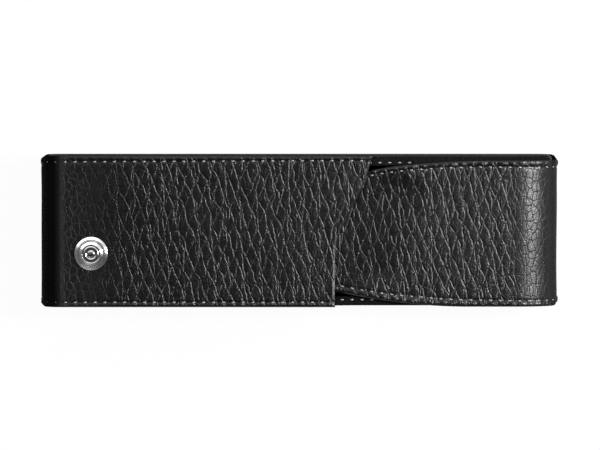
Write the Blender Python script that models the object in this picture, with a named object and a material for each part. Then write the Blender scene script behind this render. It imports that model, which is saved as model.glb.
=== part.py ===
# Leather case for two pens, closed and lying on its back.
# +X runs to the folding end, +Y to the upper long edge, +Z out of the front face.
# All lengths are in metres, and the origin is on the table under the middle of the case.

import math
from collections import namedtuple

import bmesh
import bpy
import numpy as np
from mathutils import Vector

# Whole case
case_length = 0.160
case_width = 0.0464
case_depth = 0.020
left_corner_radius = 0.006
plan_corner_radius = 0.0015

# Leathers, linings and board
strip_leather = 0.0011
strip_lining = 0.0006
gusset_leather = 0.0010
gusset_lining = 0.0006
board_thickness = 0.0008
layer_gap = 0.0003

# Folding end and flap
flap_drop = 0.0008
lower_fold_radius = 0.0080
upper_fold_reach_x = 0.0130
upper_fold_reach_z = 0.0090
lower_fold_axis_inset = 0.00172
upper_fold_axis_inset = 0.00225
lower_split_degrees = 45
upper_split_degrees = 40
fold_split_gap = 0.0004
flap_upper_inset = 0.0010
flap_lower_inset = 0.0004

# Slanted mouth of the front panel. The curve's four points have shares of the slant, from
# the lower edge to the upper one, and of the half width, up from the middle line.
flap_length = 0.0690
mouth_slant = 0.0116
mouth_slant_shares = (0.013, 0.034, 0.655, 1)
mouth_height_shares = (-0.277, 0.085, 0.32, 1)
mouth_gap = 0.0005

# Narrowing of the flap towards the mouth, as shares of its own length and depth
upper_narrowing = 0.00435
upper_narrow_length = 0.0385
upper_narrow_from_fold = 0.0585
upper_along_shares = (0, 0.156, 0.584, 1)
upper_across_shares = (0, 0.47, 1, 1)
lower_narrowing = 0.0044
lower_narrow_length = 0.0405
lower_narrow_from_fold = 0.0685
lower_along_shares = (0, 0.235, 0.605, 1)
lower_across_shares = (0, 0.43, 1, 1)

# Tongue that tucks under the front panel
tongue_length = 0.0250
tongue_taper = 0.06
tongue_corner = 0.0080
dip_length = 0.0055

# Side gussets, shaped as trays
gusset_inset = 0.0003
gusset_flange = 0.0029
gusset_lip = 0.0018
gusset_bend = 0.0015
gusset_ramp_start = 0.0015
gusset_ramp_length = 0.0050

# Divider between the pens
divider_leather = 0.0010
divider_foot_thickness = 0.0008
divider_foot_reach = 0.0050
divider_fillet = 0.0010
divider_clearance = 0.0005
divider_left_inset = 0.0100
divider_right_inset = 0.0280
divider_left_round = 0.0030
divider_right_round = 0.0120
divider_end_height = 0.0030

# Stiffener board in the back
board_left_inset = 0.0090
board_right_inset = 0.0110
board_side_margin = 0.0023
board_corner_radius = 0.0040

# Stud on the front panel
stud_left_inset = 0.0157
stud_lower_inset = 0.0164
stud_base_radius = 0.00515
stud_base_height = 0.0009
stud_face_radius = 0.00415
stud_face_height = 0.0010
stud_edge_round = 0.0003
stud_ring_height = 0.0002
stud_ring_width = 0.0003
stud_outer_ring = 0.00345
stud_middle_ring = 0.0024
stud_inner_ring = 0.0012
stud_seat_gap = 0.0001
rivet_shank_radius = 0.0012
rivet_head_radius = 0.0024
rivet_head_thickness = 0.0004
rivet_tail_radius = 0.0020
rivet_tail_thickness = 0.0005
washer_radius = 0.0032
washer_thickness = 0.0005
running_clearance = 0.0003
cutter_overrun = 0.0010

# Facet counts
corner_steps = 8
split_steps = 5
panel_columns = 16
flap_columns = 20
stud_segments = 40
rivet_segments = 24
edge_samples = 60
weld_distance = 0.000001
sharp_edge_degrees = 35

# Rows along the panels, as shares of the way to the mouth, the fold or the tongue's end
front_row_shares = (0.5, 0.9, 1)
flap_row_shares = (0, 0.02, 0.045, 0.07, 0.1, 0.16, 0.25, 0.37, 0.52, 0.72, 1)
tongue_row_shares = (0, 0.3, 0.55, 0.75, 0.9, 1)

# Values that follow from the ones above
half_length = case_length / 2
half_width = case_width / 2
flap_level = case_depth - flap_drop
lining_depth = strip_leather + layer_gap
stack_depth = lining_depth + strip_lining
gusset_depth = stack_depth + layer_gap
board_pocket = board_thickness + layer_gap
diagonal = math.sin(math.radians(45))
dip_depth = stack_depth + layer_gap - flap_drop
web_face = half_width - gusset_inset
flange_edge = web_face - gusset_flange
flap_upper_reach = half_width - flap_upper_inset
flap_lower_reach = half_width - flap_lower_inset
mouth_lower_x = half_length - flap_length
divider_left_x = divider_left_inset - half_length
divider_right_x = half_length - divider_right_inset
divider_top = flap_level - dip_depth - stack_depth - divider_clearance
board_left_x = board_left_inset - half_length
board_right_x = half_length - board_right_inset
board_half_width = flange_edge - board_side_margin
stud_x = stud_left_inset - half_length
stud_y = stud_lower_inset - half_width
lower_fold_axis = Vector((half_length - lower_fold_axis_inset, 0, lower_fold_axis_inset))
upper_fold_axis = Vector((half_length - upper_fold_axis_inset, 0, flap_level - upper_fold_axis_inset))

# A place on the case's side outline, with its outward normal. back_share is 1 along the board
# in the back and 0 elsewhere; end_share is 1 on the folding end's wall and 0 elsewhere.
Station = namedtuple("Station", "x z nx nz back_share end_share")


def clear_scene():
    for thing in list(bpy.data.objects):
        bpy.data.objects.remove(thing, do_unlink=True)


def make_material(name, colour, roughness, metallic):
    material = bpy.data.materials.new(name)
    material.use_nodes = True
    shader = material.node_tree.nodes["Principled BSDF"]
    shader.inputs["Base Color"].default_value = (*colour, 1)
    shader.inputs["Roughness"].default_value = roughness
    shader.inputs["Metallic"].default_value = metallic
    return material


def leather(name):
    return make_material(name + "_leather", (0.016, 0.016, 0.017), 0.5, 0)


def lining(name):
    return make_material(name + "_cloth", (0.010, 0.010, 0.011), 0.9, 0)


def metal(name):
    return make_material(name + "_chrome", (0.80, 0.80, 0.82), 0.15, 1)


def finish_object(name, mesh_data, material, fold=None):
    """Link a mesh as a named object. A folding piece has its origin on its fold's axis."""
    bmesh.ops.recalc_face_normals(mesh_data, faces=mesh_data.faces)
    if fold:
        bmesh.ops.translate(mesh_data, vec=-fold.matrix_world.translation, verts=mesh_data.verts)
    mesh = bpy.data.meshes.new(name)
    mesh_data.to_mesh(mesh)
    mesh_data.free()
    mesh.materials.append(material)
    mesh.shade_smooth()
    mesh.set_sharp_from_angle(angle=math.radians(sharp_edge_degrees))
    thing = bpy.data.objects.new(name, mesh)
    bpy.context.scene.collection.objects.link(thing)
    thing.parent = fold
    return thing


def make_fold(name, place, parent=None):
    """An empty on a fold's axis, which carries the pieces that turn there."""
    fold = bpy.data.objects.new(name, None)
    bpy.context.scene.collection.objects.link(fold)
    fold.parent = parent
    fold.location = place - parent.location if parent else place
    bpy.context.view_layer.update()
    return fold


def bezier(four):
    """Evenly stepped values along one cubic curve through four named values."""
    t = np.linspace(0, 1, edge_samples)
    ends = (1 - t) ** 3 * four[0] + t**3 * four[3]
    return ends + 3 * (1 - t) ** 2 * t * four[1] + 3 * (1 - t) * t**2 * four[2]


def mouth_x(y):
    """Where the front panel ends at height y: straight below, slanted in an S above."""
    heights = half_width * bezier(mouth_height_shares)
    slants = mouth_slant * bezier(mouth_slant_shares)
    return mouth_lower_x + float(np.interp(y, [-half_width, *heights], [0, *slants]))


def upper_flap_edge(x):
    """How far the flap reaches up from the middle line at x. It goes on tapering as the tongue."""
    start = half_length - upper_narrow_from_fold
    along = start + upper_narrow_length * bezier(upper_along_shares)
    across = flap_upper_reach - upper_narrowing * (1 - bezier(upper_across_shares))
    return float(np.interp(x, along, across)) - tongue_taper * max(0, start - x)


def lower_flap_edge(x):
    """How far the flap reaches down from the middle line at x. It goes on tapering as the tongue."""
    start = half_length - lower_narrow_from_fold
    along = start + lower_narrow_length * bezier(lower_along_shares)
    across = flap_lower_reach - lower_narrowing * (1 - bezier(lower_across_shares))
    return float(np.interp(x, along, across)) - tongue_taper * max(0, start - x)


def flap_y(x, share):
    """A height across the flap, where share runs from -1 at the lower edge to 1 at the upper."""
    low = -lower_flap_edge(x)
    high = upper_flap_edge(x)
    return low + (high - low) * (share + 1) / 2


def smooth(share):
    share = min(1, max(0, share))
    return share * share * (3 - 2 * share)


def plan_trim(x):
    """How much narrower the strip is near the ends, which rounds the case's corners."""
    inside = max(0, plan_corner_radius - half_length + abs(x))
    return plan_corner_radius - math.sqrt(max(0, plan_corner_radius**2 - inside**2))


def corner(centre_x, centre_z, reach_x, reach_z, start, stop, steps, back=(0, 0), end=(0, 0)):
    """Stations round a corner, from one angle to another, in degrees up from +X."""
    stations = []
    for step in range(steps + 1):
        share = step / steps
        angle = math.radians(start + (stop - start) * share)
        x = centre_x + reach_x * math.cos(angle)
        z = centre_z + reach_z * math.sin(angle)
        normal = Vector((math.cos(angle) / reach_x, math.sin(angle) / reach_z)).normalized()
        back_share = back[0] + (back[1] - back[0]) * share
        end_share = end[0] + (end[1] - end[0]) * share
        stations.append(Station(x, z, normal.x, normal.y, back_share, end_share))
    return stations


def lower_fold(start, stop, steps, back, end):
    centre_x = half_length - lower_fold_radius
    return corner(
        centre_x,
        lower_fold_radius,
        lower_fold_radius,
        lower_fold_radius,
        start,
        stop,
        steps,
        back,
        end,
    )


def upper_fold(start, stop, steps, end=(0, 0)):
    centre_x = half_length - upper_fold_reach_x
    centre_z = flap_level - upper_fold_reach_z
    reach = (upper_fold_reach_x, upper_fold_reach_z)
    return corner(centre_x, centre_z, *reach, start, stop, steps, (0, 0), end)


def closed_end():
    """Stations up the closed left end, from the back to the front."""
    radius = left_corner_radius
    centre_x = radius - half_length
    lower = corner(centre_x, radius, radius, radius, -90, -180, corner_steps, (1, 0))
    upper = corner(centre_x, case_depth - radius, radius, radius, -180, -270, corner_steps)
    return lower + upper


def inward(station, depth):
    """The point at some depth under the case's outer side."""
    return station.x - station.nx * depth, station.z - station.nz * depth


def lift(station, y, depth):
    """How far the board pushes the lining in, which falls to nothing beside the board."""
    if depth <= strip_leather:
        return 0
    across = np.interp(abs(y), (board_half_width + layer_gap, flange_edge - layer_gap), (1, 0))
    return board_pocket * station.back_share * float(across)


def split_angle(degrees, radius, side):
    """An angle moved by half the gap that the fold's two solids keep."""
    return degrees + side * math.degrees(fold_split_gap / 2 / radius)


def sheet(name, rows, columns, place, depths, material, fold=None):
    """A closed sheet of leather between two depths, over a grid of rows and columns."""
    mesh_data = bmesh.new()
    faces = []
    for depth in depths:
        grid = []
        for row in range(rows):
            grid.append([mesh_data.verts.new(place(row, column, depth)) for column in range(columns)])
        faces.append(grid)
    for grid in faces:
        for row in range(rows - 1):
            for column in range(columns - 1):
                near, far = grid[row], grid[row + 1]
                mesh_data.faces.new((near[column], near[column + 1], far[column + 1], far[column]))
    outer, inner = faces
    rim = [(row, 0) for row in range(rows)]
    rim += [(rows - 1, column) for column in range(1, columns)]
    rim += [(row, columns - 1) for row in range(rows - 2, -1, -1)]
    rim += [(0, column) for column in range(columns - 2, 0, -1)]
    for here, there in zip(rim, rim[1:] + rim[:1]):
        corners = (outer[here[0]][here[1]], outer[there[0]][there[1]])
        corners += (inner[there[0]][there[1]], inner[here[0]][here[1]])
        mesh_data.faces.new(corners)
    return finish_object(name, mesh_data, material, fold)


def spread(count):
    """Even shares across the case, from -1 at the lower edge to 1 at the upper."""
    return [step * 2 / count - 1 for step in range(count + 1)]


def panel_shares():
    """Shares across the panels, with a column at each side of the step beside the board."""
    board_share = (board_half_width + layer_gap) / half_width
    rim_share = (flange_edge - layer_gap) / half_width
    middle = [share * board_share for share in spread(panel_columns)]
    return [-1, -rim_share] + middle + [rim_share, 1]


def shell_stations():
    """The case's own strip, from the lower fold along the back and up the closed end."""
    split = split_angle(-lower_split_degrees, lower_fold_radius, -1)
    return lower_fold(split, -90, split_steps, (0, 1), (0, 0)) + closed_end()


def make_shell(name, depths, material):
    """Back, closed end and front panel in one piece, ending at the slanted mouth."""
    stations = shell_stations()
    shares = panel_shares()
    front_start = stations[-1].x

    def place(row, column, depth):
        share = shares[column]
        if row < len(stations):
            station = stations[row]
            x, z = inward(station, depth + lift(station, share * half_width, depth))
            return x, share * (half_width - plan_trim(station.x)), z
        y = share * half_width
        reach = front_row_shares[row - len(stations)]
        x = front_start + (mouth_x(y) - front_start) * reach
        return x, y, case_depth - depth

    rows = len(stations) + len(front_row_shares)
    return sheet(name, rows, len(shares), place, depths, material)


def strip_y(station, share):
    """Across the folding end, where the strip widens from the flap's edges to the back's."""
    rise = station.z / flap_level
    high = half_width + (flap_upper_reach - half_width) * rise
    low = half_width + (flap_lower_reach - half_width) * rise
    reach = (high if share > 0 else low) - plan_trim(station.x)
    return share * reach


def make_end_wall(name, depths, material, fold):
    """The part of the strip that stands at the folding end, between its two folds."""
    upper_start = split_angle(upper_split_degrees, upper_fold_reach_x, -1)
    lower_stop = split_angle(-lower_split_degrees, lower_fold_radius, 1)
    stations = upper_fold(upper_start, 0, split_steps)
    stations += lower_fold(0, lower_stop, split_steps, (0, 0), (0, 0))

    end_shares = (-1, 0, 1)

    def place(row, column, depth):
        x, z = inward(stations[row], depth)
        return x, strip_y(stations[row], end_shares[column]), z

    return sheet(name, len(stations), len(end_shares), place, depths, material, fold)


def dip(x, y):
    """How far the flap sinks towards the mouth, so that its tongue passes under the panel."""
    return dip_depth * (1 - smooth((x - mouth_x(y) - mouth_gap) / dip_length))


def beside_mouth(share, clearance):
    """The point across the flap that lies a clearance away from the mouth's edge."""
    y = share * half_width
    for _ in range(8):
        x = mouth_x(y) + clearance
        y = flap_y(x, share)
    return x, y


def make_flap(name, depths, material, fold):
    """The flap, from the mouth's edge to the upper fold."""
    split = split_angle(upper_split_degrees, upper_fold_reach_x, 1)
    stations = upper_fold(90, split, corner_steps)
    shares = spread(flap_columns)
    flat_end = stations[0].x

    def place(row, column, depth):
        share = shares[column]
        if row < len(flap_row_shares):
            start = beside_mouth(share, mouth_gap)[0]
            x = start + (flat_end - start) * flap_row_shares[row]
            y = flap_y(x, share)
            return x, y, flap_level - dip(x, y) - depth
        station = stations[row - len(flap_row_shares) + 1]
        x, z = inward(station, depth)
        return x, strip_y_at_flap(station, share), z

    rows = len(flap_row_shares) + len(stations) - 1
    return sheet(name, rows, len(shares), place, depths, material, fold)


def strip_y_at_flap(station, share):
    """Across the upper fold, where the flap's edges are level with the flat part's."""
    high = flap_upper_reach
    low = -flap_lower_reach
    trim = plan_trim(station.x)
    return low + trim + (high - low - 2 * trim) * (share + 1) / 2


def make_tongue(name, depths, material, fold):
    """The flap's end under the front panel, with rounded corners."""
    shares = spread(flap_columns)

    def place(row, column, depth):
        share = shares[column]
        start = beside_mouth(share, mouth_gap - layer_gap)[0]
        middle = beside_mouth(0, mouth_gap)[0]
        rounding = tongue_corner * (1 - (1 - abs(share) ** 3) ** (1 / 3))
        stop = middle - tongue_length + rounding
        x = start + (stop - start) * tongue_row_shares[row]
        return x, flap_y(x, share), flap_level - dip_depth - depth

    return sheet(name, len(tongue_row_shares), len(shares), place, depths, material, fold)


def gusset_stations(side):
    """The closed side outline that a gusset follows, with its front edge sinking at the mouth."""
    ramp_start = mouth_x(side * half_width) + gusset_ramp_start
    stations = lower_fold(0, -90, corner_steps, (0, 1), (1, 0)) + closed_end()
    for step in range(corner_steps + 1):
        share = step / corner_steps
        x = ramp_start + gusset_ramp_length * share
        z = case_depth - flap_drop * smooth(share)
        stations.append(Station(x, z, 0, 1, 0, 0))
    return stations + upper_fold(90, 0, corner_steps, (0, 1))


def gusset_section(station, side):
    """Points across a gusset's leather: web, bend, flange and back along the inside."""
    flange = gusset_flange + (gusset_lip - gusset_flange) * station.end_share
    inner_bend = gusset_bend - gusset_leather
    across = (
        (0, gusset_bend),
        (gusset_bend * (1 - diagonal), gusset_bend * (1 - diagonal)),
        (gusset_bend, 0),
        (flange, 0),
        (flange, gusset_leather),
        (gusset_bend, gusset_leather),
        (gusset_bend - inner_bend * diagonal, gusset_bend - inner_bend * diagonal),
        (gusset_leather, gusset_bend),
    )
    points = []
    for inset, depth in across:
        x, z = inward(station, gusset_depth + depth)
        points.append((x, side * (web_face - inset), z))
    return points


def make_gusset(name, side, material):
    """A side wall whose edges are turned in along the back, the closed end and the front."""
    mesh_data = bmesh.new()
    rings = []
    for station in gusset_stations(side):
        rings.append([mesh_data.verts.new(point) for point in gusset_section(station, side)])
    for near, far in zip(rings, rings[1:] + rings[:1]):
        for index in range(len(near) - 1):
            mesh_data.faces.new((near[index], near[index + 1], far[index + 1], far[index]))
    for index in (0, -1):
        mesh_data.faces.new([ring[index] for ring in rings])
    return finish_object(name, mesh_data, material)


def prism(outline, vector):
    """A closed solid from a flat outline pushed along a vector."""
    mesh_data = bmesh.new()
    near = mesh_data.faces.new([mesh_data.verts.new(point) for point in outline])
    pushed = bmesh.ops.extrude_face_region(mesh_data, geom=[near], use_keep_orig=True)
    moved = [item for item in pushed["geom"] if isinstance(item, bmesh.types.BMVert)]
    bmesh.ops.translate(mesh_data, vec=vector, verts=moved)
    return mesh_data


def make_gusset_lining(name, side, material):
    """A flat lining that lies inside the gusset's tray."""
    depth = gusset_depth + gusset_leather + layer_gap
    y = side * (web_face - gusset_leather - layer_gap)
    outline = []
    for station in gusset_stations(side):
        x, z = inward(station, depth)
        outline.append((x, y, z))
    return finish_object(name, prism(outline, Vector((0, -side * gusset_lining, 0))), material)


def make_board(name, material):
    """The stiffener board, a plate with rounded corners between back leather and lining."""
    outline = []
    low = strip_leather + layer_gap / 2
    right_x = board_right_x - board_corner_radius
    left_x = board_left_x + board_corner_radius
    far_y = board_half_width - board_corner_radius
    centres = ((right_x, far_y), (left_x, far_y), (left_x, -far_y), (right_x, -far_y))
    for turn, (centre_x, centre_y) in enumerate(centres):
        for step in range(corner_steps + 1):
            angle = math.radians(90 * (turn + step / corner_steps))
            across = board_corner_radius * math.sin(angle)
            along = board_corner_radius * math.cos(angle)
            outline.append((centre_x + along, centre_y + across, low))
    return finish_object(name, prism(outline, Vector((0, 0, board_thickness))), material)


def divider_section(x, top):
    """An upside-down T across the case, with filleted feet and a rounded top edge."""
    floor = stack_depth + board_pocket + layer_gap
    foot = floor + divider_foot_thickness
    web = divider_leather / 2
    fillet_middle = divider_fillet * (1 - diagonal)
    right = [
        (divider_foot_reach, floor),
        (divider_foot_reach, foot),
        (web + divider_fillet, foot),
        (web + fillet_middle, foot + fillet_middle),
        (web, foot + divider_fillet),
        (web, top - web),
        (web * diagonal, top - web * (1 - diagonal)),
        (0, top),
    ]
    left = [(-y, z) for y, z in reversed(right[:-1])]
    return [(x, y, z) for y, z in right + left]


def divider_heights():
    """Places along the divider and its height there: rounded at the left, swept down at the right."""
    low = stack_depth + board_pocket + layer_gap + divider_end_height
    places = []
    for step in range(corner_steps + 1):
        angle = math.radians(90 * step / corner_steps)
        x = divider_left_x + divider_left_round * (1 - math.cos(angle))
        places.append((x, divider_top - divider_left_round * (1 - math.sin(angle))))
    for step in range(corner_steps + 1):
        angle = math.radians(90 * step / corner_steps)
        x = divider_right_x - divider_right_round * (1 - math.sin(angle))
        places.append((x, low + (divider_top - low) * math.cos(angle)))
    return places


def make_divider(name, material):
    mesh_data = bmesh.new()
    rings = []
    for x, top in divider_heights():
        rings.append([mesh_data.verts.new(point) for point in divider_section(x, top)])
    for near, far in zip(rings, rings[1:]):
        for index in range(len(near)):
            follow = (index + 1) % len(near)
            mesh_data.faces.new((near[index], near[follow], far[follow], far[index]))
    mesh_data.faces.new(rings[0])
    mesh_data.faces.new(rings[-1])
    return finish_object(name, mesh_data, material)


def turned(profile, segments):
    """A solid turned about the stud's axis from a closed profile of (radius, height) points."""
    mesh_data = bmesh.new()
    corners = [mesh_data.verts.new((radius, 0, height)) for radius, height in profile]
    edges = [mesh_data.edges.new(pair) for pair in zip(corners, corners[1:])]
    if profile[0][0] > 0:
        edges.append(mesh_data.edges.new((corners[-1], corners[0])))
    bmesh.ops.spin(
        mesh_data,
        geom=corners + edges,
        cent=(0, 0, 0),
        axis=(0, 0, 1),
        angle=math.tau,
        steps=segments,
        use_merge=True,
    )
    bmesh.ops.remove_doubles(mesh_data, verts=mesh_data.verts, dist=weld_distance)
    bmesh.ops.translate(mesh_data, vec=(stud_x, stud_y, 0), verts=mesh_data.verts)
    return mesh_data


def round_edge(radius, height, round_radius):
    """Three points round a turned piece's upper outer edge."""
    short = round_radius * (1 - diagonal)
    return [(radius, height - round_radius), (radius - short, height - short), (radius - round_radius, height)]


def make_stud_base(name, material):
    low = case_depth + stud_seat_gap
    top = low + stud_base_height
    pocket_floor = top - rivet_head_thickness - stud_seat_gap
    pocket = rivet_head_radius + running_clearance
    hole = rivet_shank_radius + running_clearance
    profile = [(hole, low), (hole, pocket_floor), (pocket, pocket_floor), (pocket, top)]
    profile += reversed(round_edge(stud_base_radius, top, stud_edge_round))
    profile.append((stud_base_radius, low))
    return finish_object(name, turned(profile, stud_segments), material)


def ring_profile(radius, level):
    """A low raised ring on the stud's face, seen from the rim inwards."""
    crest = level + stud_ring_height
    reach = stud_ring_width / 2
    return [(radius + stud_ring_width, level), (radius + reach, crest), (radius, crest), (radius - reach, level)]


def make_stud_face(name, material):
    """The raised disc, with three plain rings round its middle."""
    low = case_depth + stud_seat_gap + stud_base_height + stud_seat_gap
    top = low + stud_face_height
    field = top - stud_ring_height
    rim = stud_outer_ring + stud_ring_width
    profile = [(0, low), (stud_face_radius, low)]
    profile += round_edge(stud_face_radius, top, stud_edge_round)
    profile += [(rim, top), (rim - stud_ring_height, field)]
    profile += ring_profile(stud_middle_ring, field) + ring_profile(stud_inner_ring, field)
    profile.append((0, field))
    return finish_object(name, turned(profile, stud_segments), material)


def washer_top():
    return case_depth - stack_depth - stud_seat_gap


def make_rivet(name, material):
    """A rivet with its head in the base's pocket and its tail spread under the washer."""
    head_top = case_depth + stud_seat_gap + stud_base_height
    head_low = head_top - rivet_head_thickness
    tail_top = washer_top() - washer_thickness - stud_seat_gap
    tail_low = tail_top - rivet_tail_thickness
    profile = [
        (0, head_top),
        (rivet_head_radius, head_top),
        (rivet_head_radius, head_low),
        (rivet_shank_radius, head_low),
        (rivet_shank_radius, tail_top),
        (rivet_tail_radius, tail_top),
        (rivet_shank_radius, tail_low),
        (0, tail_low),
    ]
    return finish_object(name, turned(profile, rivet_segments), material)


def make_washer(name, material):
    top = washer_top()
    low = top - washer_thickness
    hole = rivet_shank_radius + running_clearance
    profile = [(hole, low), (hole, top), (washer_radius, top), (washer_radius, low)]
    return finish_object(name, turned(profile, rivet_segments), material)


def cut_rivet_hole(panels):
    """Punch the rivet's hole through the front leather and its lining."""
    depth = stack_depth + cutter_overrun * 2
    bpy.ops.mesh.primitive_cylinder_add(
        vertices=rivet_segments,
        radius=rivet_shank_radius + running_clearance,
        depth=depth,
        location=(stud_x, stud_y, case_depth - stack_depth / 2),
    )
    punch = bpy.context.object
    punch.name = "rivet_hole_punch"
    punch.hide_render = True
    punch.display_type = "WIRE"
    for panel in panels:
        hole = panel.modifiers.new("rivet_hole", "BOOLEAN")
        hole.operation = "DIFFERENCE"
        hole.solver = "EXACT"
        hole.object = punch


def build_case():
    outer_depths = (0, strip_leather)
    lining_depths = (lining_depth, stack_depth)
    lower = make_fold("lower_fold_axis", lower_fold_axis)
    upper = make_fold("upper_fold_axis", upper_fold_axis, lower)

    shell = make_shell("outer_shell", outer_depths, leather("outer_shell"))
    shell_lining = make_shell("shell_lining", lining_depths, lining("shell_lining"))
    cut_rivet_hole((shell, shell_lining))
    make_board("back_stiffener", make_material("grey_board", (0.20, 0.18, 0.16), 0.9, 0))
    for name, side in (("upper_gusset", 1), ("lower_gusset", -1)):
        make_gusset(name, side, leather(name))
        make_gusset_lining(name + "_lining", side, lining(name + "_lining"))
    make_divider("divider", leather("divider"))

    make_stud_base("stud_base", metal("stud_base"))
    make_stud_face("stud_face", metal("stud_face"))
    make_rivet("stud_rivet", metal("stud_rivet"))
    make_washer("stud_washer", metal("stud_washer"))

    make_end_wall("end_wall", outer_depths, leather("end_wall"), lower)
    make_end_wall("end_wall_lining", lining_depths, lining("end_wall_lining"), lower)
    make_flap("flap", outer_depths, leather("flap"), upper)
    make_flap("flap_lining", lining_depths, lining("flap_lining"), upper)
    make_tongue("flap_tongue", outer_depths, leather("flap_tongue"), upper)
    make_tongue("flap_tongue_lining", lining_depths, lining("flap_tongue_lining"), upper)


clear_scene()
build_case()
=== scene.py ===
# %% [markdown]
# A leather case for two pens
# The case is one long strip of grained leather. It starts at the folding end, runs along the back,
# turns up round the closed end and comes back over the pens as the front panel. The same strip goes
# the other way too: up the folding end, over the pens as the flap, and under the front panel as a
# tongue. This lesson builds the looks of that case round a model that already works as a solid.

import math
from collections import namedtuple
from functools import partial

import bmesh
import bpy
import numpy as np
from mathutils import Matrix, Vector, noise


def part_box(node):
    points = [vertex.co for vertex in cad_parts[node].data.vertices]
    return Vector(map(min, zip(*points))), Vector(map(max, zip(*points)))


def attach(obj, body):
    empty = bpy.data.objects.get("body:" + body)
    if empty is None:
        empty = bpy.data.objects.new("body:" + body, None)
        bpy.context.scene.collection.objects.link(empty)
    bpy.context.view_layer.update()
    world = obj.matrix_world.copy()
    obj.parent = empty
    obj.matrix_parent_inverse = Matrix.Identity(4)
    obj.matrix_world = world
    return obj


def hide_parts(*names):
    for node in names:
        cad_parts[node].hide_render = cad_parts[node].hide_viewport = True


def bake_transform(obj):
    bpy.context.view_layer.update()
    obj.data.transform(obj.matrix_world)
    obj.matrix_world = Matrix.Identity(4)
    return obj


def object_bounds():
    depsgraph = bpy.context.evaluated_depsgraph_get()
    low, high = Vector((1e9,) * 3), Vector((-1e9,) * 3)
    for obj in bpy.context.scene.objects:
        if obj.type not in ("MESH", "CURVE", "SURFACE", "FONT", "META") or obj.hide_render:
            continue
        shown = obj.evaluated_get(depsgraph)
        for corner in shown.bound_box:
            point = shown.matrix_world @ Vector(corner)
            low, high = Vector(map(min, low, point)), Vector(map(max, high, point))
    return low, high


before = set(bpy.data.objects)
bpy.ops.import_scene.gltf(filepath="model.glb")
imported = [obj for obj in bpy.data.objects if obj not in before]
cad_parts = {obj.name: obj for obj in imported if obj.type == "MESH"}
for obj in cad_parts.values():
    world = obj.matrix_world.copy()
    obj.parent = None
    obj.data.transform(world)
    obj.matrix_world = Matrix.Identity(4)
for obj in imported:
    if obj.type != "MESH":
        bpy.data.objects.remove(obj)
cad_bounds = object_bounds()
print("CAD box, in metres:", cad_bounds)

# %% [markdown]
# What the solids already say
# Every size in this file hangs on a few lengths of the case. They are measured on the solids, so
# the leather lies where the solids are. Only the long edges stand out a little further, because
# coats of edge paint build up on a cut edge and a sewn stack swells there. The curves of the mouth
# and of the flap's edges are drawn again from Bezier curves, because a curve drawn again is
# smoother than one read off facets.

# %% Measure the case
edge_paint_build = 0.0002
half_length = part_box("end_wall")[1].x
half_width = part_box("outer_shell")[1].y + edge_paint_build
case_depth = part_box("outer_shell")[1].z
flap_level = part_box("flap")[1].z
stud_centre = (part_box("stud_face")[0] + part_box("stud_face")[1]) / 2
leather_thickness = 0.0011
lining_depth = 0.0013
stack_depth = 0.0020
print("half length and half width:", half_length, half_width)
print("depth and flap level:", case_depth, flap_level)

# %% Curves of the mouth and of the flap's edges
curve_samples = 120


def curve(four):
    """Evenly stepped values along one cubic Bezier curve."""
    t = np.linspace(0, 1, curve_samples)
    ends = (1 - t) ** 3 * four[0] + t**3 * four[3]
    return ends + 3 * (1 - t) ** 2 * t * four[1] + 3 * (1 - t) * t**2 * four[2]


mouth_from_fold = 0.0690
mouth_lower_x = half_length - mouth_from_fold
mouth_slant = 0.0116
mouth_heights = half_width * curve((-0.277, 0.085, 0.32, 1))
mouth_slants = mouth_slant * curve((0.013, 0.034, 0.655, 1))


def mouth_x(y):
    """Where the front panel ends at height y."""
    heights = np.concatenate(([-half_width], mouth_heights))
    slants = np.concatenate(([0], mouth_slants))
    return mouth_lower_x + np.interp(y, heights, slants)


mouth_upper_x = float(mouth_x(half_width))
print("mouth from x", round(mouth_lower_x, 4), "to", round(mouth_upper_x, 4))

# %% Curves of the flap's edges
tongue_taper = 0.06
upper_side = dict(
    inset=0.0014, narrowing=0.0032, length=0.0385, from_fold=0.0585,
    along=(0, 0.156, 0.584, 1), across=(0, 0.47, 1, 1),
)
lower_side = dict(
    inset=0.0001, narrowing=0.0045, length=0.0405, from_fold=0.0685,
    along=(0, 0.235, 0.605, 1), across=(0, 0.43, 1, 1),
)


def flap_side(x, inset, narrowing, length, from_fold, along, across):
    """How far the flap reaches from the middle line at x, where one side narrows in an S."""
    start = half_length - from_fold
    places = start + length * curve(along)
    reaches = half_width - inset - narrowing * (1 - curve(across))
    return np.interp(x, places, reaches) - tongue_taper * np.maximum(0, start - x)


def flap_high(x):
    return flap_side(x, **upper_side)


def flap_low(x):
    return -flap_side(x, **lower_side)


print("flap's edges at the fold:", round(float(flap_low(half_length)), 4), "and", end=" ")
print(round(float(flap_high(half_length)), 4))

# %% [markdown]
# The camera
# The photograph looks almost straight down on the front. A little of the wall at the upper edge
# shows and none at the lower edge, so the camera leans a few degrees to the upper side. A long
# distance and a long lens keep the two long edges parallel. The lens is worked out from the size
# of one pixel on the case, so the case fills the picture as it does in the photograph.

# %% Place the camera
picture_width = 600
picture_height = 450
case_length_in_pixels = 514.9
case_column = 299.45
case_row = 230.05
camera_distance = 1.5
camera_lean = math.radians(2.7)
sensor_width = 36

pixel = 2 * half_length / case_length_in_pixels
view_direction = Vector((0, math.sin(camera_lean), math.cos(camera_lean)))
view_up = Vector((0, math.cos(camera_lean), -math.sin(camera_lean)))
aim = Vector((0, 0, case_depth / 2))
aim += Vector((1, 0, 0)) * (picture_width / 2 - case_column) * pixel
aim += view_up * (case_row - picture_height / 2) * pixel

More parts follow.
